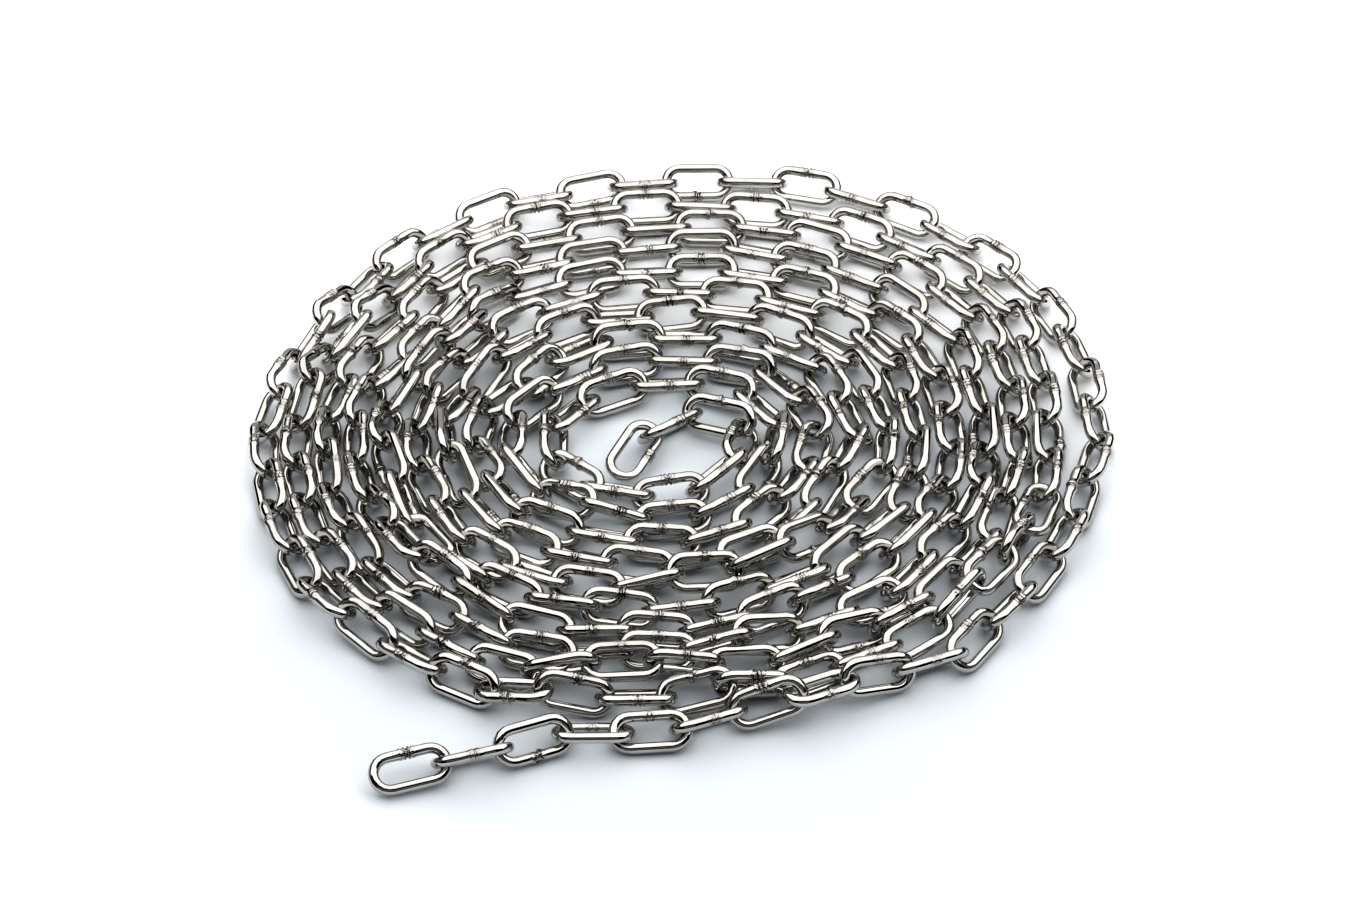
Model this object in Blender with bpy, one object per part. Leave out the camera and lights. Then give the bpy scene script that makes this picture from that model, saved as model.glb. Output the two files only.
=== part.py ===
"""A heap of bright welded steel chain, coiled flat on the floor in about ten turns.

Metres, +Z up. X runs along the front of the heap, Y towards its back, and the floor is Z = 0.
Every link is a closed ring of round wire with straight sides and rounded crowns, and each hangs
in the crown of the last, rolled about a quarter turn from it. The chain is laid from its inner
end to its outer end: each link takes the lowest place that is clear of the links laid before it,
so where the turns crowd together a link rides up on its neighbour.
"""

import math
import random

import bmesh
import bpy
import numpy as np
from mathutils import Matrix, Vector
from mathutils.bvhtree import BVHTree

# The link
WIRE_DIAMETER = 0.005
LINK_LENGTH = 0.038
LINK_WIDTH = 0.0195
WIRE_SIDES = 5
CROWN_STEPS = 3  # an odd number, so that a flat facet faces along the link at each crown

# The coil, as seen from above
CENTRE = (-0.006, 0.008)
START_BEARING = 15.0  # degrees, where the innermost turn starts
TURNS = 10.2
BEARING_STEP = 30  # degrees between the bearings in the next two lists, which start at +X
# The radius that a turn numbered 0 would have, and how far apart the turns lie
START_RADIUS = (
    0.0394, 0.0330, 0.0243, 0.0211, 0.0260, 0.0369, 0.0514, 0.0550, 0.0493, 0.0449, 0.0399, 0.0391,
)
TURN_SPACING = (
    0.01585, 0.0177, 0.0180, 0.0176, 0.0169, 0.0145, 0.0140, 0.0141, 0.0153, 0.0142, 0.0150, 0.0152,
)
BUNCHING = 0.0005  # the middle turns lie closer than the first and the last ones
LAST_TURN = 9.5  # from here on the chain lies a little farther out
LAST_TURN_OUT = 0.005
LAST_TURN_EASING = 0.4
WAVE = 0.0009
WAVES_PER_TURN = (3.7, 5.3)
KNOTS_PER_TURN = 24
POINTS_PER_KNOT = 16
HEADING_POINTS = 3  # the route's heading at a point is read this many points to either side

# The free ends, which leave the coil: the inner one from its tip, the outer one to its tip
INNER_TAIL = (
    (-0.028, -0.020),
    (-0.018, -0.001),
    (-0.007, 0.013),
    (0.008, 0.0215),
    (0.023, 0.019),
)
OUTER_TAIL = (
    (0.128, -0.143),
    (0.087, -0.157),
    (0.049, -0.1755),
    (0.022, -0.1855),
    (-0.0055, -0.191),
    (-0.033, -0.1955),
    (-0.0605, -0.2015),
    (-0.0875, -0.210),
    (-0.114, -0.2185),
    (-0.145, -0.228),
)
FIRST_ROLLS = (14.0, -50.0)  # the inner end link lies almost flat, and the next leans on it
FIRST_LIFT = 0.0035  # its far crown is held up by the next link
END_ROLL = -34.0  # nothing hangs in the outer end link, so it lies flatter and lower than the rest
END_HEIGHT = 0.0067

# How the links lie
ROLL = 45.0
ROLL_SPREAD = 6.0
SIDE_SPREAD = 0.001
ROLL_TRIES = (0.0, 10.0, -10.0, 20.0, -20.0, 30.0, -30.0, 40.0, -40.0)
SIDE_TRIES = (0.0, 0.0015, -0.0015, 0.003, -0.003, 0.0045, -0.0045, 0.006, -0.006)
REST_HEIGHT = 0.0079  # of the axis of a link rolled half-way, above the floor
SIDE_COST = 0.4  # a step to the side counts this much of a step in height
ROLL_COST = 0.00007  # and a degree of roll this many metres of height
HEIGHT_STEP = 0.0008
LOWEST_JOINT = 0.0055
HIGHEST_JOINT = 0.019
CLEARANCE = 0.00015  # kept round every link, so that two links stay twice this far apart
TRIES_AT_ONCE = 60
NEAR_REACH = 1.8 * LINK_LENGTH  # links farther off than this can't meet the next one
SLACK_TRIES = (0.0, 0.0004, 0.0008, 0.0013, 0.0019, 0.0026)
NEXT_HEIGHTS = (0.008, 0.010, 0.013)
NEXT_ROLL_TRIES = (0.0, 12.0, -12.0)
MOST_TAKEN_UP = 260
SEED = 11

# Pieces: the free tails are single links, and the turns are runs of links
INNER_SINGLES = 3
OUTER_SINGLES = 6
OPEN_LINKS = (256, 262, 269, 279)  # links of the outermost turn that lie open, kept single too
RUNS = 43  # before the open links part some of them
FIRST_RUN_SHARE = 0.65  # how long the innermost run is, against a run of the mean length

CHAIN_STEEL = (0.62, 0.60, 0.58, 1.0)
STEEL_ROUGHNESS = 0.18

BEND_RADIUS = (LINK_WIDTH - WIRE_DIAMETER) / 2
CROWN_REACH = (LINK_LENGTH - WIRE_DIAMETER) / 2
BEARING_REACH = LINK_LENGTH / 2 - WIRE_DIAMETER
HALF_STRAIGHT = CROWN_REACH - BEND_RADIUS * math.cos(math.pi / (2 * CROWN_STEPS))
# The wire's polygon has the area of the round wire
SIDE_ANGLE = 2 * math.pi / WIRE_SIDES
CORNER_RADIUS = (WIRE_DIAMETER / 2) * math.sqrt(SIDE_ANGLE / math.sin(SIDE_ANGLE))


def clear_scene():
    for item in list(bpy.data.objects):
        bpy.data.objects.remove(item)


def link_shape(corner_radius):
    """One link along X in the XY plane: its wire is swept along a side, round a crown and back again."""
    bm = bmesh.new()
    start = Matrix.Translation((HALF_STRAIGHT, BEND_RADIUS, 0)) @ Matrix.Rotation(math.pi / 2, 4, "Y")
    bmesh.ops.create_circle(bm, segments=WIRE_SIDES, radius=corner_radius, matrix=start)
    first_ring = list(bm.edges)
    ring = first_ring
    for crown in (1, -1):
        swept = bmesh.ops.spin(
            bm,
            geom=ring,
            cent=(crown * HALF_STRAIGHT, 0, 0),
            axis=(0, 0, 1),
            angle=-math.pi,
            steps=CROWN_STEPS,
        )
        ring = [item for item in swept["geom_last"] if isinstance(item, bmesh.types.BMEdge)]
        if crown == 1:
            side = bmesh.ops.extrude_edge_only(bm, edges=ring)["geom"]
            corners = [item for item in side if isinstance(item, bmesh.types.BMVert)]
            bmesh.ops.translate(bm, verts=corners, vec=(-2 * HALF_STRAIGHT, 0, 0))
            ring = [item for item in side if isinstance(item, bmesh.types.BMEdge) and item.is_boundary]
    bmesh.ops.bridge_loops(bm, edges=first_ring + ring)
    bmesh.ops.recalc_face_normals(bm, faces=bm.faces)
    return bm


def shape_lists(bm):
    """The corners and faces of a shape, for tests of whether two links meet."""
    bm.verts.index_update()
    corners = np.array([tuple(vertex.co) for vertex in bm.verts])
    faces = [[vertex.index for vertex in face.verts] for face in bm.faces]
    return corners, faces


def by_bearing(values, bearing):
    """The value at a bearing, on a straight line between those in the list."""
    place = (bearing % 360) / BEARING_STEP
    lower = int(place) % len(values)
    share = place - int(place)
    return values[lower] * (1 - share) + values[(lower + 1) % len(values)] * share


def turn_point(turn):
    """A point of the coil's centre line. Going outwards, the chain runs clockwise seen from above."""
    bearing = START_BEARING - 360 * turn
    angle = math.radians(bearing)
    radius = by_bearing(START_RADIUS, bearing) + by_bearing(TURN_SPACING, bearing) * turn
    radius += BUNCHING * math.sin(2 * math.pi * turn / TURNS)
    radius += LAST_TURN_OUT * min(max((turn - LAST_TURN) / LAST_TURN_EASING, 0), 1)
    radius += WAVE * sum(math.sin(2 * math.pi * waves * turn) for waves in WAVES_PER_TURN)
    return CENTRE[0] + radius * math.cos(angle), CENTRE[1] + radius * math.sin(angle)


def smooth_route():
    """The chain's whole route on the floor, as closely spaced points on one smooth curve."""
    knot_count = int(TURNS * KNOTS_PER_TURN) - 1
    turns = [turn_point((number + 1) / KNOTS_PER_TURN) for number in range(knot_count)]
    knots = np.array(list(INNER_TAIL) + turns + list(OUTER_TAIL))
    knots = np.vstack([2 * knots[0] - knots[1], knots, 2 * knots[-1] - knots[-2]])
    share = np.linspace(0, 1, POINTS_PER_KNOT, endpoint=False)[:, None]
    pieces = []
    for before, here, there, after in zip(knots, knots[1:], knots[2:], knots[3:]):
        curve = 2 * here + (there - before) * share
        curve = curve + (2 * before - 5 * here + 4 * there - after) * share**2
        curve = curve + (3 * here - before - 3 * there + after) * share**3
        pieces.append(curve / 2)
    return np.vstack(pieces)


def link_axes(headings, rolls):
    """Along a link, across it and out of its plane, for each heading and each roll from lying flat."""
    along = headings / np.linalg.norm(headings, axis=1, keepdims=True)
    across = np.cross((0, 0, 1), along)
    across = across / np.linalg.norm(across, axis=1, keepdims=True)
    up = np.cross(along, across)
    wide = np.cos(rolls)[:, None] * across + np.sin(rolls)[:, None] * up
    return np.stack([along, wide, np.cross(along, wide)], axis=1)


def unit_in_plane(directions, normals):
    """Each direction with its part along a normal taken out, at unit length."""
    flat = directions - (directions * normals).sum(axis=1, keepdims=True) * normals
    return flat / np.linalg.norm(flat, axis=1, keepdims=True)


def hung_centres(last_centre, last, axes):
    """Where a link's centre comes when its crown hangs in the crown of the last link, pulled tight."""
    pull = last[0] + axes[:, 0]
    pull = pull / np.linalg.norm(pull, axis=1, keepdims=True)
    arc_centre = last_centre + last[0] * (CROWN_REACH - BEND_RADIUS)
    last_wire = arc_centre + BEND_RADIUS * unit_in_plane(pull, last[2][None, :])
    next_wire = last_wire - WIRE_DIAMETER * pull
    next_arc_centre = next_wire + BEND_RADIUS * unit_in_plane(pull, axes[:, 2])
    return next_arc_centre + axes[:, 0] * (CROWN_REACH - BEND_RADIUS)


def centre_line():
    """The corners of a link's centre line, as a closed loop in the link's own frame."""
    corners = []
    for crown in (1, -1):
        for number in range(CROWN_STEPS + 1):
            angle = crown * (math.pi / 2 - number * math.pi / CROWN_STEPS)
            corner_x = crown * (HALF_STRAIGHT + BEND_RADIUS * math.cos(angle))
            corners.append((corner_x, BEND_RADIUS * math.sin(angle), 0))
    return np.array(corners)


def least_gaps(starts, ends, other_starts, other_ends):
    """The least distance between each set of straight pieces and all of the others."""
    first = (ends - starts)[:, :, None, :]
    second = (other_ends - other_starts)[None, None, :, :]
    between = starts[:, :, None, :] - other_starts[None, None, :, :]
    a = (first * first).sum(-1)
    e = (second * second).sum(-1)
    b = (first * second).sum(-1)
    c = (first * between).sum(-1)
    f = (second * between).sum(-1)
    slope = np.maximum(a * e - b * b, 1e-18)
    s = np.clip((b * f - c * e) / slope, 0, 1)
    t = np.clip((b * s + f) / e, 0, 1)
    s = np.clip((b * t - c) / a, 0, 1)
    apart = between + s[..., None] * first - t[..., None] * second
    return np.sqrt((apart * apart).sum(-1)).min(axis=(1, 2))


class Layer:
    """Lays links one after another along the route."""

    def __init__(self, route):
        self.route = route
        self.random = random.Random(SEED)
        self.loop = centre_line()
        self.loop_ahead = np.roll(self.loop, -1, axis=0)
        guard = link_shape(CORNER_RADIUS + CLEARANCE)
        self.guard, self.guard_faces = shape_lists(guard)
        guard.free()
        self.centres = []
        self.axes = []
        self.trees = []
        self.lines = []
        self.taken_up = 0

    def tree(self, centre, axes):
        corners = [Vector(corner) for corner in self.guard @ axes + centre]
        return BVHTree.FromPolygons(corners, self.guard_faces)

    def line(self, centre, axes):
        return self.loop @ axes + centre, self.loop_ahead @ axes + centre

    def place(self, centre, axes):
        self.centres.append(centre)
        self.axes.append(axes)
        self.trees.append(self.tree(centre, axes))
        self.lines.append(self.line(centre, axes))

    def bearing_point(self):
        return self.centres[-1] + self.axes[-1][0] * BEARING_REACH

    def near(self, point):
        """The numbers of the laid links near a point, without the last, which the next one hangs in."""
        apart = np.linalg.norm(np.array(self.centres[:-1]).reshape(-1, 3) - point, axis=1)
        return list(np.flatnonzero(apart < NEAR_REACH))

    def target(self, index, point, reach):
        """The first place on the route that lies a link's reach from a point."""
        last = len(self.route) - 1
        while index < last and np.linalg.norm(self.route[index] - point[:2]) < reach:
            index += 1
        return index

    def heights_above_floor(self, centres, axes):
        return (self.guard @ axes)[:, :, 2].min(axis=1) + centres[:, 2]

    def ways(self, index, nominal_roll, side, rest_height):
        """Each way to lay the next link on or above the floor, the cheapest first."""
        target = self.route[index]
        after = min(index + HEADING_POINTS, len(self.route) - 1)
        ahead = self.route[after] - self.route[index - HEADING_POINTS]
        left = np.array([-ahead[1], ahead[0]]) / np.linalg.norm(ahead)
        heights = np.arange(LOWEST_JOINT, HIGHEST_JOINT, HEIGHT_STEP)
        grid = np.meshgrid(heights, SIDE_TRIES, ROLL_TRIES, indexing="ij")
        heights, sides, rolls = (values.ravel() for values in grid)
        ends = np.column_stack([target + left * (side + sides)[:, None], heights])
        axes = link_axes(ends - self.bearing_point(), np.radians(nominal_roll + rolls))
        centres = hung_centres(self.centres[-1], self.axes[-1], axes)
        costs = abs(heights - rest_height) + SIDE_COST * abs(sides) + ROLL_COST * abs(rolls)
        order = np.argsort(costs, kind="stable")
        order = order[self.heights_above_floor(centres, axes)[order] >= -CLEARANCE]
        return centres[order], axes[order]

    def leaves_room(self, index, centre, axes, next_roll):
        """Whether the next link can hang in this one without going through the floor."""
        point = centre + axes[0] * BEARING_REACH
        index = self.target(index, point, 2 * BEARING_REACH)
        heights, rolls = (values.ravel() for values in np.meshgrid(NEXT_HEIGHTS, NEXT_ROLL_TRIES))
        ends = np.column_stack([np.tile(self.route[index], (len(heights), 1)), heights])
        next_axes = link_axes(ends - point, np.radians(next_roll + rolls))
        next_centres = hung_centres(centre, axes, next_axes)
        return self.heights_above_floor(next_centres, next_axes).max() >= -CLEARANCE

    def gaps(self, centres, axes, neighbours):
        """How far each way keeps from the laid links, with room for the next link's crown."""
        if not neighbours:
            return np.full(len(centres), LINK_LENGTH)
        next_axes = np.stack([axes[:, 0], axes[:, 2], -axes[:, 1]], axis=1)
        next_centres = centres + axes[:, 0] * 2 * BEARING_REACH
        lines = []
        for loop in (self.loop, self.loop_ahead):
            own = loop @ axes + centres[:, None, :]
            after = loop @ next_axes + next_centres[:, None, :]
            lines.append(np.concatenate([own, after[:, CROWN_STEPS + 1 :]], axis=1))
        others = [np.vstack([self.lines[number][end] for number in neighbours]) for end in (0, 1)]
        return least_gaps(*lines, *others)

    def settle(self, centre, axes, neighbours):
        """The centre, slackened until the link clears the one it hangs in, or None if it can't lie there."""
        for slack in SLACK_TRIES:
            slackened = centre - self.axes[-1][0] * slack
            tree = self.tree(slackened, axes)
            if not tree.overlap(self.trees[-1]):
                if any(tree.overlap(self.trees[number]) for number in neighbours):
                    return None
                return slackened
        return None

    def choices(self, index, nominal_roll, side, rest_height=REST_HEIGHT):
        """Ways that are clear of every link laid so far and leave room for the next, the cheapest first."""
        neighbours = self.near(self.bearing_point() + self.axes[-1][0] * BEARING_REACH)
        centres, axes = self.ways(index, nominal_roll, side, rest_height)
        for first in range(0, len(centres), TRIES_AT_ONCE):
            batch = slice(first, first + TRIES_AT_ONCE)
            gaps = self.gaps(centres[batch], axes[batch], neighbours)
            for number in np.flatnonzero(gaps > WIRE_DIAMETER + CLEARANCE) + first:
                settled = self.settle(centres[number], axes[number], neighbours)
                if settled is None:
                    continue
                next_roll = -math.copysign(ROLL, nominal_roll)
                if self.leaves_room(index, settled, axes[number], next_roll):
                    yield settled, axes[number]
                    break

    def take_up(self):
        """Takes up the last link, which then has to lie another way."""
        for kept in (self.centres, self.axes, self.trees, self.lines):
            kept.pop()

    def lay(self):
        """Lays the whole chain, from the inner end to the outer."""
        first_heading = np.append(self.route[POINTS_PER_KNOT] - self.route[0], FIRST_LIFT)
        axes = link_axes(first_heading[None, :], np.radians(FIRST_ROLLS[:1]))[0]
        low = (self.guard @ axes)[:, 2].min()
        start = np.append(self.route[0], -low - CLEARANCE)
        self.place(start + axes[0] * BEARING_REACH, axes)
        indexes = [HEADING_POINTS]
        open_choices = []
        while True:
            number = len(self.centres)
            if len(open_choices) < number:
                index = self.target(indexes[-1], self.bearing_point(), 2 * BEARING_REACH)
                if index >= len(self.route) - 1 - HEADING_POINTS:
                    self.take_up()
                    self.place(*next(self.choices(indexes[-1], END_ROLL, 0, END_HEIGHT)))
                    return
                sign = 1 if number % 2 == 0 else -1
                nominal = sign * ROLL + self.random.gauss(0, ROLL_SPREAD)
                if number < len(FIRST_ROLLS):
                    nominal = FIRST_ROLLS[number]
                side = self.random.uniform(-SIDE_SPREAD, SIDE_SPREAD)
                open_choices.append(self.choices(index, nominal, side))
                indexes.append(index)
            chosen = next(open_choices[-1], None)
            if chosen is None:
                open_choices.pop()
                indexes.pop()
                self.take_up()
                self.taken_up += 1
                if self.taken_up > MOST_TAKEN_UP:
                    raise RuntimeError(f"no clear place for link {number}")
            else:
                self.place(*chosen)


def placing(centre, axes):
    """The matrix that puts the link made along X at its place."""
    matrix = Matrix(axes.T.tolist()).to_4x4()
    matrix.translation = Vector(centre)
    return matrix


def bearing_facets(mesh):
    """The numbers of the inner facets at the near and the far crown, which face along the link."""
    reach = CROWN_REACH - CORNER_RADIUS * math.cos(math.pi / WIRE_SIDES)
    found = []
    for end in (-reach, reach):
        aim = Vector((end, 0, 0))
        found.append(min(mesh.polygons, key=lambda facet: (facet.center - aim).length).index)
    return found


def run_mesh(name, link, matrices):
    """Links in a row as one closed body, joined by a small bead where each bears on the next."""
    near_facet, far_facet = bearing_facets(link)
    bm = bmesh.new()
    facets = []
    for matrix in matrices:
        corner_count = len(bm.verts)
        face_count = len(bm.faces)
        bm.from_mesh(link)
        bm.verts.ensure_lookup_table()
        bm.faces.ensure_lookup_table()
        bmesh.ops.transform(bm, matrix=matrix, verts=bm.verts[corner_count:])
        facets.append((bm.faces[face_count + near_facet], bm.faces[face_count + far_facet]))
    for (_, far), (near, _) in zip(facets, facets[1:]):
        edges = list(far.edges) + list(near.edges)
        bmesh.ops.delete(bm, geom=[far, near], context="FACES_ONLY")
        bmesh.ops.bridge_loops(bm, edges=edges)
    mesh = bpy.data.meshes.new(name)
    bm.to_mesh(mesh)
    bm.free()
    return mesh


def steel(name):
    material = bpy.data.materials.new(name)
    material.use_nodes = True
    shader = material.node_tree.nodes["Principled BSDF"]
    shader.inputs["Base Color"].default_value = CHAIN_STEEL
    shader.inputs["Metallic"].default_value = 1.0
    shader.inputs["Roughness"].default_value = STEEL_ROUGHNESS
    return material


def add_piece(name, mesh, matrix):
    piece = bpy.data.objects.new(name, mesh)
    piece.matrix_world = matrix
    bpy.context.scene.collection.objects.link(piece)
    return piece


def run_bounds(link_count):
    """Where each run of the turns starts and ends. The runs of the tight inner turns are shorter."""
    turn_links = link_count - INNER_SINGLES - OUTER_SINGLES
    cuts = set()
    for number in range(RUNS + 1):
        share = number / RUNS
        share = FIRST_RUN_SHARE * share + (1 - FIRST_RUN_SHARE) * share**2
        cuts.add(INNER_SINGLES + round(turn_links * share))
    for number in OPEN_LINKS:
        cuts.update((number, number + 1))
    cuts = sorted(cuts)
    return list(zip(cuts, cuts[1:]))


def main():
    clear_scene()
    layer = Layer(smooth_route())
    layer.lay()
    bm = link_shape(CORNER_RADIUS)
    shape, _ = shape_lists(bm)
    link = bpy.data.meshes.new("chain_link")
    bm.to_mesh(link)
    bm.free()
    link.shade_smooth()
    link.materials.append(steel("chain_steel"))
    corners = np.vstack([shape @ axes + centre for centre, axes in zip(layer.centres, layer.axes)])
    lowest, highest = corners.min(axis=0), corners.max(axis=0)
    origin = np.append((lowest + highest)[:2] / 2, lowest[2])
    matrices = [placing(centre - origin, axes) for centre, axes in zip(layer.centres, layer.axes)]
    count = len(matrices)
    print(f"{count} links, {(highest - lowest).round(4)} m, from {origin.round(5)}")
    for number in range(INNER_SINGLES):
        name = "end_link_inner" if number == 0 else f"inner_tail_link_{number + 1}"
        add_piece(name, link.copy(), matrices[number])
    run_number = 0
    for first, after in run_bounds(count):
        if first in OPEN_LINKS:
            add_piece(f"open_link_{OPEN_LINKS.index(first) + 1}", link.copy(), matrices[first])
            continue
        run_number += 1
        name = f"chain_run_{run_number:02d}"
        middle = matrices[(first + after) // 2].translation
        shift = Matrix.Translation(-middle)
        mesh = run_mesh(name, link, [shift @ matrix for matrix in matrices[first:after]])
        mesh.shade_smooth()
        mesh.materials.append(steel(name))
        add_piece(name, mesh, Matrix.Translation(middle))
    for number in range(OUTER_SINGLES):
        name = "end_link_outer" if number == 0 else f"outer_tail_link_{number + 1}"
        add_piece(name, link.copy(), matrices[count - 1 - number])


main()
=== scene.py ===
# %% [markdown]
# # A heap of bright steel chain
#
# The real thing is one long welded chain. It was laid down in a flat spiral of about ten turns,
# with its inner end in the middle and its outer end lying free at the front left.
# The CAD model already says where every link lies, so this lesson reads those places from the
# solids, models one good link, and puts a copy of it at each place.

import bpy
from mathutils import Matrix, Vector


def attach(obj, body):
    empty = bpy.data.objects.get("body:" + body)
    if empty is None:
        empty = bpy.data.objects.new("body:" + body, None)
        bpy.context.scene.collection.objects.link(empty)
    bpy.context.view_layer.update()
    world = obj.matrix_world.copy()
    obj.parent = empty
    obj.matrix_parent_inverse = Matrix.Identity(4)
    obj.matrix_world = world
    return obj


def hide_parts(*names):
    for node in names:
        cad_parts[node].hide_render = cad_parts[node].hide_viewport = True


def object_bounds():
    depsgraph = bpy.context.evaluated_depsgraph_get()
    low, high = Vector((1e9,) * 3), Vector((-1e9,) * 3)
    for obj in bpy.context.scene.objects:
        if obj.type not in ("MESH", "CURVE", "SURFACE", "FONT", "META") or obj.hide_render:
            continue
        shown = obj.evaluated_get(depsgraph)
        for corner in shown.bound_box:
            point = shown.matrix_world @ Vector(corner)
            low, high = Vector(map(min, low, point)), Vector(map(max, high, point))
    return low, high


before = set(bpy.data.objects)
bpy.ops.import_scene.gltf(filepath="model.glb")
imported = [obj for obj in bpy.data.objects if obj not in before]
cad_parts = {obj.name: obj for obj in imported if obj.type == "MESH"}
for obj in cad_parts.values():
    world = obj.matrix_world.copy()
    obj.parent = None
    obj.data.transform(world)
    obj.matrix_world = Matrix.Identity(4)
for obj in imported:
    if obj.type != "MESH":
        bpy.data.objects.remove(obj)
cad_low, cad_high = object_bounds()
print("solids:", len(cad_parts), "from", tuple(cad_low), "to", tuple(cad_high))

# %% Modules for the rest of the lesson
import math
import random

import bpy
import numpy as np
from mathutils import Matrix, Vector

# %% [markdown]
# ## The camera
#
# The camera comes first, so that everything after it can be judged in the picture's own frame.
# The photograph looks down at the heap at about 41 degrees with a long lens. A short lens close
# by would show the same things, but it would swell the front links and shrink the back ones.

# %% Put up the camera
AIM = Vector((0.0008, 0.0083, 0.0004))
CAMERA_DISTANCE = 1.961
CAMERA_ELEVATION = math.radians(40.9)
LENS = 108.0
FILM_WIDTH = 36.0


def make_camera():
    data = bpy.data.cameras.new("studio_camera")
    data.lens = LENS
    data.sensor_width = FILM_WIDTH
    camera = bpy.data.objects.new("studio_camera", data)
    bpy.context.scene.collection.objects.link(camera)
    back = Vector((0, -math.cos(CAMERA_ELEVATION), math.sin(CAMERA_ELEVATION)))
    camera.location = AIM + back * CAMERA_DISTANCE
    camera.rotation_euler = (math.pi / 2 - CAMERA_ELEVATION, 0, 0)
    return camera


bpy.context.scene.camera = make_camera()
print("camera at", tuple(round(value, 3) for value in bpy.context.scene.camera.location))

# %% [markdown]
# ## Where the links lie
#
# A link of the CAD model is a five-sided bar bent into a ring, and both of its straight sides
# have five long edges of one exact length. Nothing else in a solid has edges of that length, so
# they give each link away. Their middle is the link's middle, they point along it, and the way
# from one side's edges to the other's points across it. Reading the places keeps this picture
# true to the solids when the heap is laid anew, which a typed list of places would not do.

# %% Find every link in every solid
WIRE = 0.005
LINK_LENGTH = 0.038
LINK_WIDTH = 0.0195
BEND_RADIUS = (LINK_WIDTH - WIRE) / 2
SOLID_CROWN_STEPS = 3
SOLID_SIDE = LINK_LENGTH - WIRE - 2 * BEND_RADIUS * math.cos(math.pi / (2 * SOLID_CROWN_STEPS))
LENGTH_TOLERANCE = 0.00002
REACH_OF_ONE_LINK = 1.2 * LINK_WIDTH
PARALLEL = 0.99999  # the least product of two directions that point the same way


def long_edges(mesh):
    """The middle and the direction of each edge that is as long as a link's straight side."""
    corners = np.empty(len(mesh.vertices) * 3)
    mesh.vertices.foreach_get("co", corners)
    corners = corners.reshape(-1, 3)
    ends = np.empty(len(mesh.edges) * 2, int)
    mesh.edges.foreach_get("vertices", ends)
    first, second = corners[ends.reshape(-1, 2).T]
    lengths = np.linalg.norm(second - first, axis=1)
    found = abs(lengths - SOLID_SIDE) < LENGTH_TOLERANCE
    directions = (second - first)[found] / lengths[found, None]
    return ((first + second) / 2)[found], directions


def link_places(mesh):
    """For each link in a solid: its middle, and the directions along it and across it."""
    middles, directions = long_edges(mesh)
    places = []
    while len(middles):
        alike = abs(directions @ directions[0]) > PARALLEL
        alike &= np.linalg.norm(middles - middles[0], axis=1) < REACH_OF_ONE_LINK
        own = middles[alike]
        middle = own.mean(axis=0)
        across = np.linalg.svd(own - middle)[2][0]
        places.append((middle, directions[0], across))
        middles, directions = middles[~alike], directions[~alike]
    return places


places = {name: link_places(node.data) for name, node in sorted(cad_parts.items())}
print("links:", sum(len(found) for found in places.values()), "in", len(places), "solids")

# %% [markdown]
# ## One link
#
# A link is a piece of drawn wire that a machine bends round and welds shut in the middle of one
# straight side. It could be a curve with a round bevel, but then the weld's bulge would be hard
# to add. So the wire's round section is a circle that is swept in edit mode: spun round a crown,
# pulled along the plain side, spun round the other crown, and pulled along the welded side ring
# by ring, where each ring is scaled to the weld's swelling. Twelve sides and ten steps to a
# crown are the fewest that give smooth streaks of light on polished wire.

# %% Helpers for modelling by hand
WIRE_SIDES = 12
CROWN_STEPS = 10
STRAIGHT = LINK_LENGTH - LINK_WIDTH


def select_nothing():
    bpy.ops.object.select_all(action="DESELECT")


def spin_crown(side):
    bpy.ops.mesh.spin(
        steps=CROWN_STEPS,
        angle=math.pi,
        center=(side * STRAIGHT / 2, 0, 0),
        axis=(0, 0, 1),
    )


def pull(distance):
    bpy.ops.mesh.extrude_region_move(TRANSFORM_OT_translate={"value": (distance, 0, 0)})


# %% [markdown]
# The weld is not the same on every link. Most have swollen rings with sharp pinched lines
# between them, where the dies gripped. On some the two ends of the wire met a little out of line,
# which leaves a step, and some were pressed almost smooth. Each kind is a list of rings: how far
# from the weld's middle, how thick the wire is there, and how far the ring is pushed out of line.

# %% Model a link of each kind of weld
WELDS = {
    "ringed": (
        (-4.2, 1.00, 0.00), (-3.3, 1.10, 0.02), (-2.7, 1.15, 0.04), (-2.2, 0.98, 0.02),
        (-1.9, 0.99, 0.02), (-1.5, 1.15, 0.04), (-0.7, 1.16, 0.02), (-0.2, 0.84, 0.00),
        (0.1, 0.84, 0.00), (0.6, 1.14, -0.02), (1.3, 1.17, -0.04), (1.8, 0.99, -0.03),
        (2.1, 0.98, -0.03), (2.6, 1.14, -0.03), (3.3, 1.08, 0.00), (4.2, 1.00, 0.00),
    ),
    "stepped": (
        (-4.0, 1.00, 0.00), (-3.0, 1.02, 0.10), (-2.0, 1.10, 0.24), (-1.0, 1.14, 0.36),
        (-0.35, 1.12, 0.40), (-0.05, 0.97, 0.20), (0.1, 0.94, -0.14), (0.4, 1.10, -0.32),
        (1.1, 1.16, -0.30), (2.1, 1.12, -0.14), (3.2, 1.01, -0.03), (4.2, 1.00, 0.00),
    ),
    "pressed": (
        (-3.6, 1.00, 0.00), (-2.4, 1.04, 0.02), (-1.1, 1.07, 0.04), (-0.3, 1.02, 0.02),
        (0.3, 1.00, 0.00), (1.0, 1.06, -0.03), (2.2, 1.05, -0.02), (3.6, 1.00, 0.00),
    ),
}
MILLIMETRE = 0.001


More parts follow.
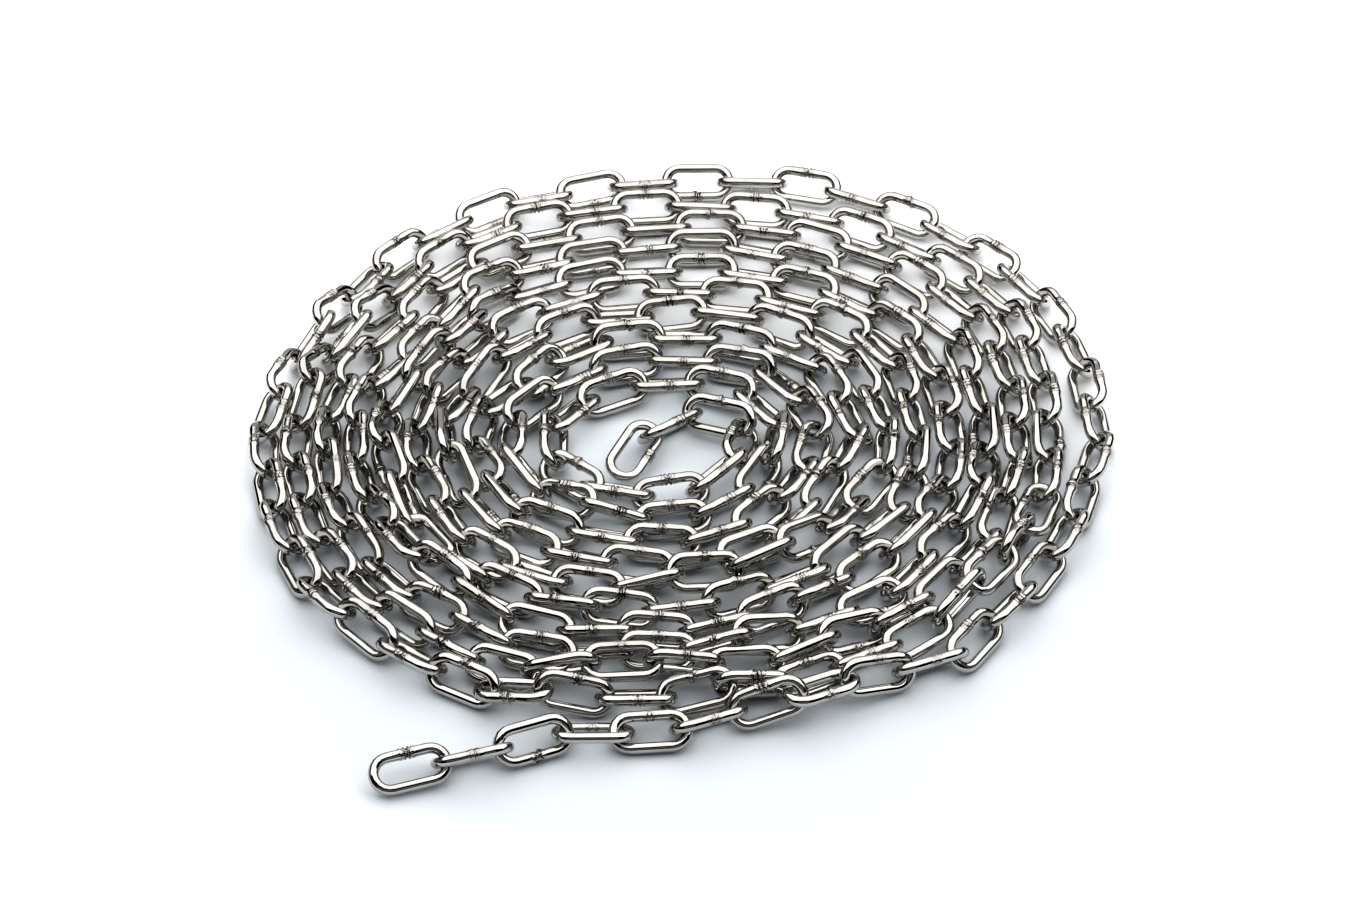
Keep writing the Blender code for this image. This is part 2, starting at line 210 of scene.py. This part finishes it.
def pull_welded_side(rings):
    at, thick, pushed = -STRAIGHT / 2, 1.0, 0.0
    for place, thickness, push in rings + ((STRAIGHT / 2 / MILLIMETRE, 1.0, 0.0),):
        pull(place * MILLIMETRE - at)
        at = place * MILLIMETRE
        bpy.ops.transform.resize(
            value=(1, thickness / thick, thickness / thick),
            center_override=(at, BEND_RADIUS + pushed * MILLIMETRE, 0),
        )
        bpy.ops.transform.translate(value=(0, (push - pushed) * MILLIMETRE, 0))
        thick, pushed = thickness, push


def model_link(kind):
    select_nothing()
    bpy.ops.mesh.primitive_circle_add(
        vertices=WIRE_SIDES,
        radius=WIRE / 2,
        location=(STRAIGHT / 2, BEND_RADIUS, 0),
        rotation=(0, math.pi / 2, 0),
    )
    link = bpy.context.object
    link.name = "link_" + kind
    bpy.ops.object.transform_apply()
    bpy.ops.object.mode_set(mode="EDIT")
    bpy.ops.mesh.select_all(action="SELECT")
    spin_crown(1)
    pull(-STRAIGHT)
    spin_crown(-1)
    pull_welded_side(WELDS[kind])
    bpy.ops.mesh.select_all(action="SELECT")
    bpy.ops.mesh.remove_doubles(threshold=LENGTH_TOLERANCE)
    bpy.ops.mesh.normals_make_consistent(inside=False)
    bpy.ops.object.mode_set(mode="OBJECT")
    bpy.ops.object.shade_smooth()
    return link


links = {kind: model_link(kind) for kind in WELDS}
for kind, link in links.items():
    size = tuple(round(side / MILLIMETRE, 2) for side in link.dimensions)
    print(kind, "link:", len(link.data.polygons), "faces,", size, "mm")

# %% [markdown]
# ## A map of the wire
#
# The finish has to follow the wire: the lines from drawing run along it, and the weld's stains
# sit at its middle. So each corner of the link keeps two values of its own. The first is its
# place on the wire: how far from the weld, and where on the round section. The second is a tone,
# which later gets another number on every copy, so that no two links are stained alike.

# %% Store each corner's place on the wire
def wire_place(corner):
    """How far a corner is from the weld along the wire, and how far out and up on its section."""
    x, y, z = corner
    beyond = abs(x) - STRAIGHT / 2
    if beyond <= 0:
        along = abs(x) if y > 0 else STRAIGHT / 2 + math.pi * BEND_RADIUS
        return along, abs(y) - BEND_RADIUS, z
    turned = math.atan2(beyond, y)
    return STRAIGHT / 2 + turned * BEND_RADIUS, math.hypot(beyond, y) - BEND_RADIUS, z


for link in links.values():
    mesh = link.data
    wire = mesh.attributes.new("wire", "FLOAT_VECTOR", "POINT")
    values = [wire_place(vertex.co) for vertex in mesh.vertices]
    wire.data.foreach_set("vector", np.array(values, np.float32).ravel())
    mesh.attributes.new("tone", "FLOAT", "POINT")
print("values on each corner:", [item.name for item in mesh.attributes if item.domain == "POINT"])

# %% [markdown]
# ## Polished steel
#
# The chain is plain bright steel, polished until it shines. It has no paint, so all of its look
# is in how it mirrors the studio. One flat grey with one roughness would look like plastic film.
# Real polished wire is a little uneven: faint lines run along it from drawing, hazy patches are
# duller, and the weld is darker, rougher and pitted.

# %% Small helpers for node trees
def add_node(tree, kind, **settings):
    node = tree.nodes.new(kind)
    for name, value in settings.items():
        setattr(node, name, value)
    return node


def feed(tree, source, node, socket):
    tree.links.new(source, node.inputs[socket])


def arithmetic(tree, operation, first, second=0.0):
    """One sum on two values, each of which is a number or another node's output."""
    node = add_node(tree, "ShaderNodeMath", operation=operation)
    for place, value in enumerate((first, second)):
        if isinstance(value, (int, float)):
            node.inputs[place].default_value = value
        else:
            feed(tree, value, node, place)
    return node.outputs[0]


def on_vectors(tree, operation, first, second=None, result="Vector"):
    """One sum on vectors, where the second is another node's output, a fixed vector or nothing."""
    node = add_node(tree, "ShaderNodeVectorMath", operation=operation)
    feed(tree, first, node, 0)
    if isinstance(second, tuple):
        node.inputs[1].default_value = second
    elif second is not None:
        feed(tree, second, node, 1)
    return node.outputs[result]


def ramp(tree, source, low, high, start=0.0, end=1.0, shape="LINEAR"):
    """A value stretched from one range to another, and held at the ends."""
    node = add_node(tree, "ShaderNodeMapRange", interpolation_type=shape)
    feed(tree, source, node, "Value")
    for socket, value in zip(("From Min", "From Max", "To Min", "To Max"), (low, high, start, end)):
        node.inputs[socket].default_value = value
    return node.outputs["Result"]


def mix_colours(tree, share, first, second):
    node = add_node(tree, "ShaderNodeMix", data_type="RGBA")
    feed(tree, share, node, "Factor")
    for socket, colour in (("A", first), ("B", second)):
        place = [item for item in node.inputs if item.name == socket and item.type == "RGBA"][0]
        if isinstance(colour, tuple):
            place.default_value = colour
        else:
            tree.links.new(colour, place)
    return [item for item in node.outputs if item.type == "RGBA"][0]


# %% [markdown]
# The patterns are made once and used several times. Draw lines are noise that is squeezed
# across the wire and stretched along it. Haze is slow noise on the object's own coordinates, so
# that it differs from link to link. The other patterns follow the wire, and each link's tone
# shifts them by another amount, or every weld would be pitted alike.

# %% Make the wire's patterns
LINES_A_METRE = 900
LINE_STRETCH = (0.04, 1, 1)
HAZE_A_METRE = 60
PITS_A_METRE = 950
BREAKS_A_METRE = 330
WAVES_A_METRE = 260
WAVE_STRETCH = (0.7, 1, 1)


def noise(tree, vector, scale, detail, stretch=(1, 1, 1)):
    mapping = add_node(tree, "ShaderNodeMapping")
    mapping.inputs["Scale"].default_value = stretch
    feed(tree, vector, mapping, "Vector")
    node = add_node(tree, "ShaderNodeTexNoise")
    node.inputs["Scale"].default_value = scale
    node.inputs["Detail"].default_value = detail
    feed(tree, mapping.outputs["Vector"], node, "Vector")
    return node.outputs["Fac"]


def wire_patterns(tree):
    """The place on the wire, the link's tone, and the noises that the finish is mixed from."""
    wire = add_node(tree, "ShaderNodeAttribute", attribute_name="wire").outputs["Vector"]
    tone = add_node(tree, "ShaderNodeAttribute", attribute_name="tone").outputs["Fac"]
    place = add_node(tree, "ShaderNodeTexCoord").outputs["Object"]
    own = on_vectors(tree, "ADD", wire, tone)
    return {
        "wire": wire,
        "tone": tone,
        "lines": noise(tree, own, LINES_A_METRE, 3, stretch=LINE_STRETCH),
        "haze": noise(tree, place, HAZE_A_METRE, 2),
        "pits": noise(tree, own, PITS_A_METRE, 2),
        "breaks": noise(tree, own, BREAKS_A_METRE, 1),
        "waves": noise(tree, own, WAVES_A_METRE, 1, stretch=WAVE_STRETCH),
    }


bright_steel = bpy.data.materials.new("bright_steel")
bright_steel.use_nodes = True
steel_tree = bright_steel.node_tree
patterns = wire_patterns(steel_tree)
print("patterns of the steel:", ", ".join(patterns))

# %% [markdown]
# The weld's share is 1 near the weld's middle and fades out over a wavy edge. Small pits sit in
# it, and black broken lines run round the wire in the pinches at its middle and where the dies
# gripped. The tone makes these marks faint on some links.

# %% Mark the weld
WELD_FADES = (0.0048, 0.0028)  # metres from the weld's middle to where its share is 0, and is 1
EDGE_WAVE = 0.0016
PITS_BETWEEN = (0.58, 0.64)
PINCH_AT = 0.002
SEAM_FADES = (0.00040, 0.00018)
BREAKS_BETWEEN = (0.42, 0.58)
TONES_BETWEEN = (0.1, 0.8)
FAINTEST_MARK = 0.25


def weld_marks(tree, patterns):
    """The weld's share of the finish, and the share of black pits and seams in it."""
    apart = add_node(tree, "ShaderNodeSeparateXYZ")
    feed(tree, patterns["wire"], apart, "Vector")
    wave = arithmetic(tree, "MULTIPLY", patterns["pits"], EDGE_WAVE)
    edge = arithmetic(tree, "ADD", apart.outputs["X"], wave)
    weld = ramp(tree, edge, *WELD_FADES)
    pits = arithmetic(tree, "MULTIPLY", weld, ramp(tree, patterns["pits"], *PITS_BETWEEN))
    from_pinch = arithmetic(tree, "ABSOLUTE", arithmetic(tree, "SUBTRACT", edge, PINCH_AT))
    from_middle = arithmetic(tree, "SUBTRACT", edge, EDGE_WAVE / 2)
    seam = ramp(tree, arithmetic(tree, "MINIMUM", from_pinch, from_middle), *SEAM_FADES)
    seam = arithmetic(tree, "MULTIPLY", seam, ramp(tree, patterns["breaks"], *BREAKS_BETWEEN))
    marked = ramp(tree, patterns["tone"], *TONES_BETWEEN, FAINTEST_MARK, 1.0)
    return weld, arithmetic(tree, "MULTIPLY", arithmetic(tree, "MAXIMUM", pits, seam), marked)


weld, black = weld_marks(steel_tree, patterns)
print("the weld's share fades out by", round(WELD_FADES[0] / MILLIMETRE, 1), "mm from its middle")

# %% [markdown]
# The colour goes from bright to dull steel with the haze, gets a brownish stain at the weld, and
# turns nearly black in the marks. The roughness is a mirror's where the haze is thin. The relief
# has three layers: slow waves that bend the streaks of light, the draw lines, and dents in the
# weld. Each layer takes the one before it as the surface that it lies on.

# %% Mix the polished steel
STEEL = (0.58, 0.57, 0.555, 1.0)
DULL_STEEL = (0.49, 0.48, 0.46, 1.0)
WELD_STAIN = (0.42, 0.40, 0.375, 1.0)
PIT = (0.03, 0.028, 0.026, 1.0)
STAINED = 0.5
DULL_BETWEEN = (0.40, 0.70)
ROUGH_BETWEEN = (0.35, 0.75)
POLISHED_ROUGHNESS = 0.025
HAZY_ROUGHNESS = 0.08
LINES_ADD = 0.02
WELD_ADDS = 0.04


def steel_colour(tree, patterns, weld, black):
    dull = ramp(tree, patterns["haze"], *DULL_BETWEEN)
    colour = mix_colours(tree, dull, STEEL, DULL_STEEL)
    colour = mix_colours(tree, arithmetic(tree, "MULTIPLY", weld, STAINED), colour, WELD_STAIN)
    return mix_colours(tree, black, colour, PIT)


def steel_roughness(tree, patterns, weld):
    rough = ramp(tree, patterns["haze"], *ROUGH_BETWEEN, POLISHED_ROUGHNESS, HAZY_ROUGHNESS)
    lined = ramp(tree, patterns["lines"], *ROUGH_BETWEEN, 0.0, LINES_ADD)
    rough = arithmetic(tree, "ADD", rough, lined)
    return arithmetic(tree, "ADD", rough, arithmetic(tree, "MULTIPLY", weld, WELD_ADDS))


colour = steel_colour(steel_tree, patterns, weld, black)
rough = steel_roughness(steel_tree, patterns, weld)
steel_shader = steel_tree.nodes["Principled BSDF"]
steel_shader.inputs["Metallic"].default_value = 1.0
feed(steel_tree, colour, steel_shader, "Base Color")
feed(steel_tree, rough, steel_shader, "Roughness")
roughest = round(HAZY_ROUGHNESS + LINES_ADD + WELD_ADDS, 3)
print("steel roughness from", POLISHED_ROUGHNESS, "to", roughest)

# %% Give the steel its relief
WAVES = (0.55, 0.00025)  # the strength of a layer, and its height in metres
SCRATCHES = (0.3, 0.00004)
DENTS = (0.9, 0.0004)


def relief(tree, pattern, strength, height, under=None):
    """One layer of relief, on a surface whose slopes come from the layer under it."""
    bump = add_node(tree, "ShaderNodeBump")
    bump.inputs["Strength"].default_value = strength
    bump.inputs["Distance"].default_value = height
    feed(tree, pattern, bump, "Height")
    if under is not None:
        feed(tree, under, bump, "Normal")
    return bump.outputs["Normal"]


layer = relief(steel_tree, patterns["waves"], *WAVES)
layer = relief(steel_tree, patterns["lines"], *SCRATCHES, under=layer)
dented = arithmetic(steel_tree, "MULTIPLY", weld, patterns["pits"])
layer = relief(steel_tree, dented, *DENTS, under=layer)
feed(steel_tree, layer, steel_shader, "Normal")
for link in links.values():
    link.data.materials.append(bright_steel)
print("material:", bright_steel.name, "with", len(steel_tree.nodes), "nodes")

# %% [markdown]
# ## Every link in its place
#
# Each copy gets a mesh of its own and a tone of its own. In the photograph most welds are on a
# link's upper side, so four in five go there and the rest go below. Two at the free end are set
# as they are seen: the end link's weld is on top, and the third link has a step underneath.
# The copies that stand for one solid are then joined into one piece, and the piece takes the
# solid's place. The CAD wire has five sides, and the round wire and the welds bulge a hair past
# its flats, so a link that would stick out of the CAD model's box is moved back by that hair.

# %% Copy the links and join them solid by solid
SEED = 4
WELD_SHARES = {"ringed": 4, "stepped": 3, "pressed": 3}
WELD_ON_TOP = 0.8  # the share of the links whose weld is on their upper side
SEEN_WELDS = {"end_link_outer": ("ringed", True), "outer_tail_link_3": ("stepped", False)}
chooser = random.Random(SEED)


def choose_weld(name):
    """The kind of weld for a link of a solid, and whether it is on the link's upper side."""
    kind = chooser.choices(tuple(WELD_SHARES), tuple(WELD_SHARES.values()))[0]
    on_top = chooser.random() < WELD_ON_TOP
    return SEEN_WELDS.get(name, (kind, on_top))


def placing(middle, along, across, on_top):
    """The matrix that lays a link at its place, with its weld on top or below."""
    if (across[2] > 0) != on_top:
        across = -across
    along = along * chooser.choice((1, -1))
    matrix = Matrix(np.array((along, across, np.cross(along, across))).T.tolist()).to_4x4()
    matrix.translation = Vector(middle)
    return matrix


def shift_inside(mesh):
    """How far a link has to move so that it keeps inside the CAD model's box."""
    corners = np.array([tuple(vertex.co) for vertex in mesh.vertices])
    below = np.maximum(np.array(cad_low) - corners.min(axis=0), 0)
    above = np.minimum(np.array(cad_high) - corners.max(axis=0), 0)
    return Vector(below + above)


def lay_link(kind, matrix):
    copy = links[kind].copy()
    copy.data = links[kind].data.copy()
    bpy.context.scene.collection.objects.link(copy)
    tone = np.full(len(copy.data.vertices), chooser.random(), np.float32)
    copy.data.attributes["tone"].data.foreach_set("value", tone)
    copy.data.transform(matrix)
    copy.data.transform(Matrix.Translation(shift_inside(copy.data)))
    return copy


def join_links(name, copies):
    select_nothing()
    for copy in copies:
        copy.select_set(True)
    bpy.context.view_layer.objects.active = copies[0]
    if len(copies) > 1:
        bpy.ops.object.join()
    copies[0].name = name
    return copies[0]


pieces = []
for name, found in places.items():
    copies = []
    for place in found:
        kind, on_top = choose_weld(name)
        copies.append(lay_link(kind, placing(*place, on_top)))
    piece = join_links("bright_" + name, copies)
    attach(piece, "root")
    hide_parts(name)
    pieces.append(piece)
for link in links.values():
    bpy.data.objects.remove(link)
print("pieces:", len(pieces), "with", sum(len(piece.data.polygons) for piece in pieces), "faces")

# %% [markdown]
# ## The floor
#
# The chain lies on a plain white studio floor that runs off past the picture's edges. In the
# photograph it is pure white behind the heap and beside it, but inside the coil and in front of
# it, round the free end, it is a cool pale grey. One white can't be both, so shade is painted on
# the floor. It is darker and bluer in an oval round the front half of the heap, with a wide soft
# edge, and stands in for the soft shadow that falls in front of the heap. Far out, where the soft
# box doesn't reach, the floor glows a little, or low views would end in grey.

# %% Lay the floor
FLOOR_SIZE = 8.0
# The floor's painted shade: a darker, bluer white in the oval round the front of the heap, standing
# in for its soft shadow.
FLOOR_PAINTED_SHADE = (0.60, 0.625, 0.645, 1.0)
FLOOR_FAR = (0.95, 0.96, 0.97, 1.0)
SHADE_MIDDLE = (0.0, -0.09, 0.0)
SHADE_STRETCH = (1.0, 1.3, 1.0)
NEAR_RADIUS = 0.19
FAR_RADIUS = 0.31
GLOW_RADIUS = 3.0
GLOW = 0.6
FLOOR_ROUGHNESS = 0.55


def floor_material():
    material = bpy.data.materials.new("studio_white")
    material.use_nodes = True
    tree = material.node_tree
    shader = tree.nodes["Principled BSDF"]
    shader.inputs["Roughness"].default_value = FLOOR_ROUGHNESS
    place = add_node(tree, "ShaderNodeTexCoord").outputs["Object"]
    place = on_vectors(tree, "SUBTRACT", place, SHADE_MIDDLE)
    place = on_vectors(tree, "MULTIPLY", place, SHADE_STRETCH)
    away = on_vectors(tree, "LENGTH", place, result="Value")
    # Painted shade near the heap, fading out to the plain white between the two radii.
    far = ramp(tree, away, NEAR_RADIUS, FAR_RADIUS, shape="SMOOTHSTEP")
    feed(tree, mix_colours(tree, far, FLOOR_PAINTED_SHADE, FLOOR_FAR), shader, "Base Color")
    shader.inputs["Emission Color"].default_value = FLOOR_FAR
    glow = ramp(tree, away, FAR_RADIUS, GLOW_RADIUS, 0.0, GLOW)
    feed(tree, glow, shader, "Emission Strength")
    return material


select_nothing()
bpy.ops.mesh.primitive_plane_add(size=FLOOR_SIZE, location=(0, 0, 0))
floor = bpy.context.object
floor.name = "studio_floor"
floor.data.materials.append(floor_material())
print("floor:", FLOOR_SIZE, "m square")

# %% [markdown]
# ## The light
#
# Polished metal shows nothing but its surroundings, so a light here is first of all a shape to
# be mirrored. One wide soft box hangs low over the heap, a little to the right and behind it,
# and gives each wire the broad white streak along its top. It hangs low so that the streaks
# differ: links in the middle see more of it than the free end at the front left does.
# With the box alone the wires' flanks would come out black. Four dim cards stand round the heap,
# so that the flanks turn grey, and what is left of the dark room between the box and the cards is
# mirrored as the thin black lines beside the streaks. The back card is the brightest, like the
# white backdrop behind a studio table. None of them shows in the picture itself.

# %% Hang the soft box and stand the cards round it
BOX_PLACE = (0.13, 0.33, 0.78)
BOX_SIZE = (2.3, 1.9)
BOX_POWER = 23.6
BOX_COLOUR = (1.0, 0.99, 0.98)
CARD_SIZE = (2.4, 1.2)
CARD_COLOUR = (0.98, 0.99, 1.0)
CARDS = {  # the place and the power of each card
    "front_card": ((0.0, -2.2, 1.0), 2.2),
    "left_card": ((-2.2, 0.0, 1.0), 2.0),
    "right_card": ((2.2, 0.0, 1.0), 2.0),
    "back_card": ((0.0, 2.4, 0.8), 5.8),
}


def soft_box(name, place, aim, size, power, colour):
    data = bpy.data.lights.new(name, "AREA")
    data.shape = "RECTANGLE"
    data.size, data.size_y = size
    data.energy = power
    data.color = colour
    box = bpy.data.objects.new(name, data)
    bpy.context.scene.collection.objects.link(box)
    box.visible_camera = False
    box.location = place
    box.rotation_euler = (Vector(aim) - Vector(place)).to_track_quat("-Z", "Y").to_euler()


soft_box("overhead_box", BOX_PLACE, (*BOX_PLACE[:2], 0), BOX_SIZE, BOX_POWER, BOX_COLOUR)
for name, (place, power) in CARDS.items():
    soft_box(name, place, (0, 0, 0), CARD_SIZE, power, CARD_COLOUR)

# %% [markdown]
# The room does three jobs that one colour can't do. The camera sees it pale beyond the floor,
# the floor gets an even fill from it that softens the shadows, and the metal mirrors it nearly
# black. The world's shader asks which kind of ray has come and answers each in its own way.

# %% Make the room
ROOM_PALE = (1.0, 1.0, 1.0, 1.0)
ROOM_FILL = (0.36, 0.375, 0.395, 1.0)
ROOM_DARK = (0.008, 0.0075, 0.007, 1.0)


def make_room():
    world = bpy.data.worlds.new("studio_room")
    world.use_nodes = True
    tree = world.node_tree
    background = tree.nodes["Background"]
    ray = add_node(tree, "ShaderNodeLightPath").outputs
    colour = mix_colours(tree, ray["Is Diffuse Ray"], ROOM_DARK, ROOM_FILL)
    colour = mix_colours(tree, ray["Is Camera Ray"], colour, ROOM_PALE)
    feed(tree, colour, background, "Color")
    return world


bpy.context.scene.world = make_room()
print("room:", bpy.context.scene.world.name)

# %% [markdown]
# Product photographs of bright metal are printed hard: near black and near white with little
# in between. The plain transform keeps the steel's own grey, the hardest contrast look pulls
# the flanks and the streaks apart, and a slightly shorter exposure keeps the floor from
# burning out where it should stay grey.

# %% Develop the picture hard
EXPOSURE = -0.6

view = bpy.context.scene.view_settings
view.view_transform = "Standard"
view.look = "Very High Contrast"
view.exposure = EXPOSURE
print("look:", view.look, "at exposure", round(view.exposure, 2))
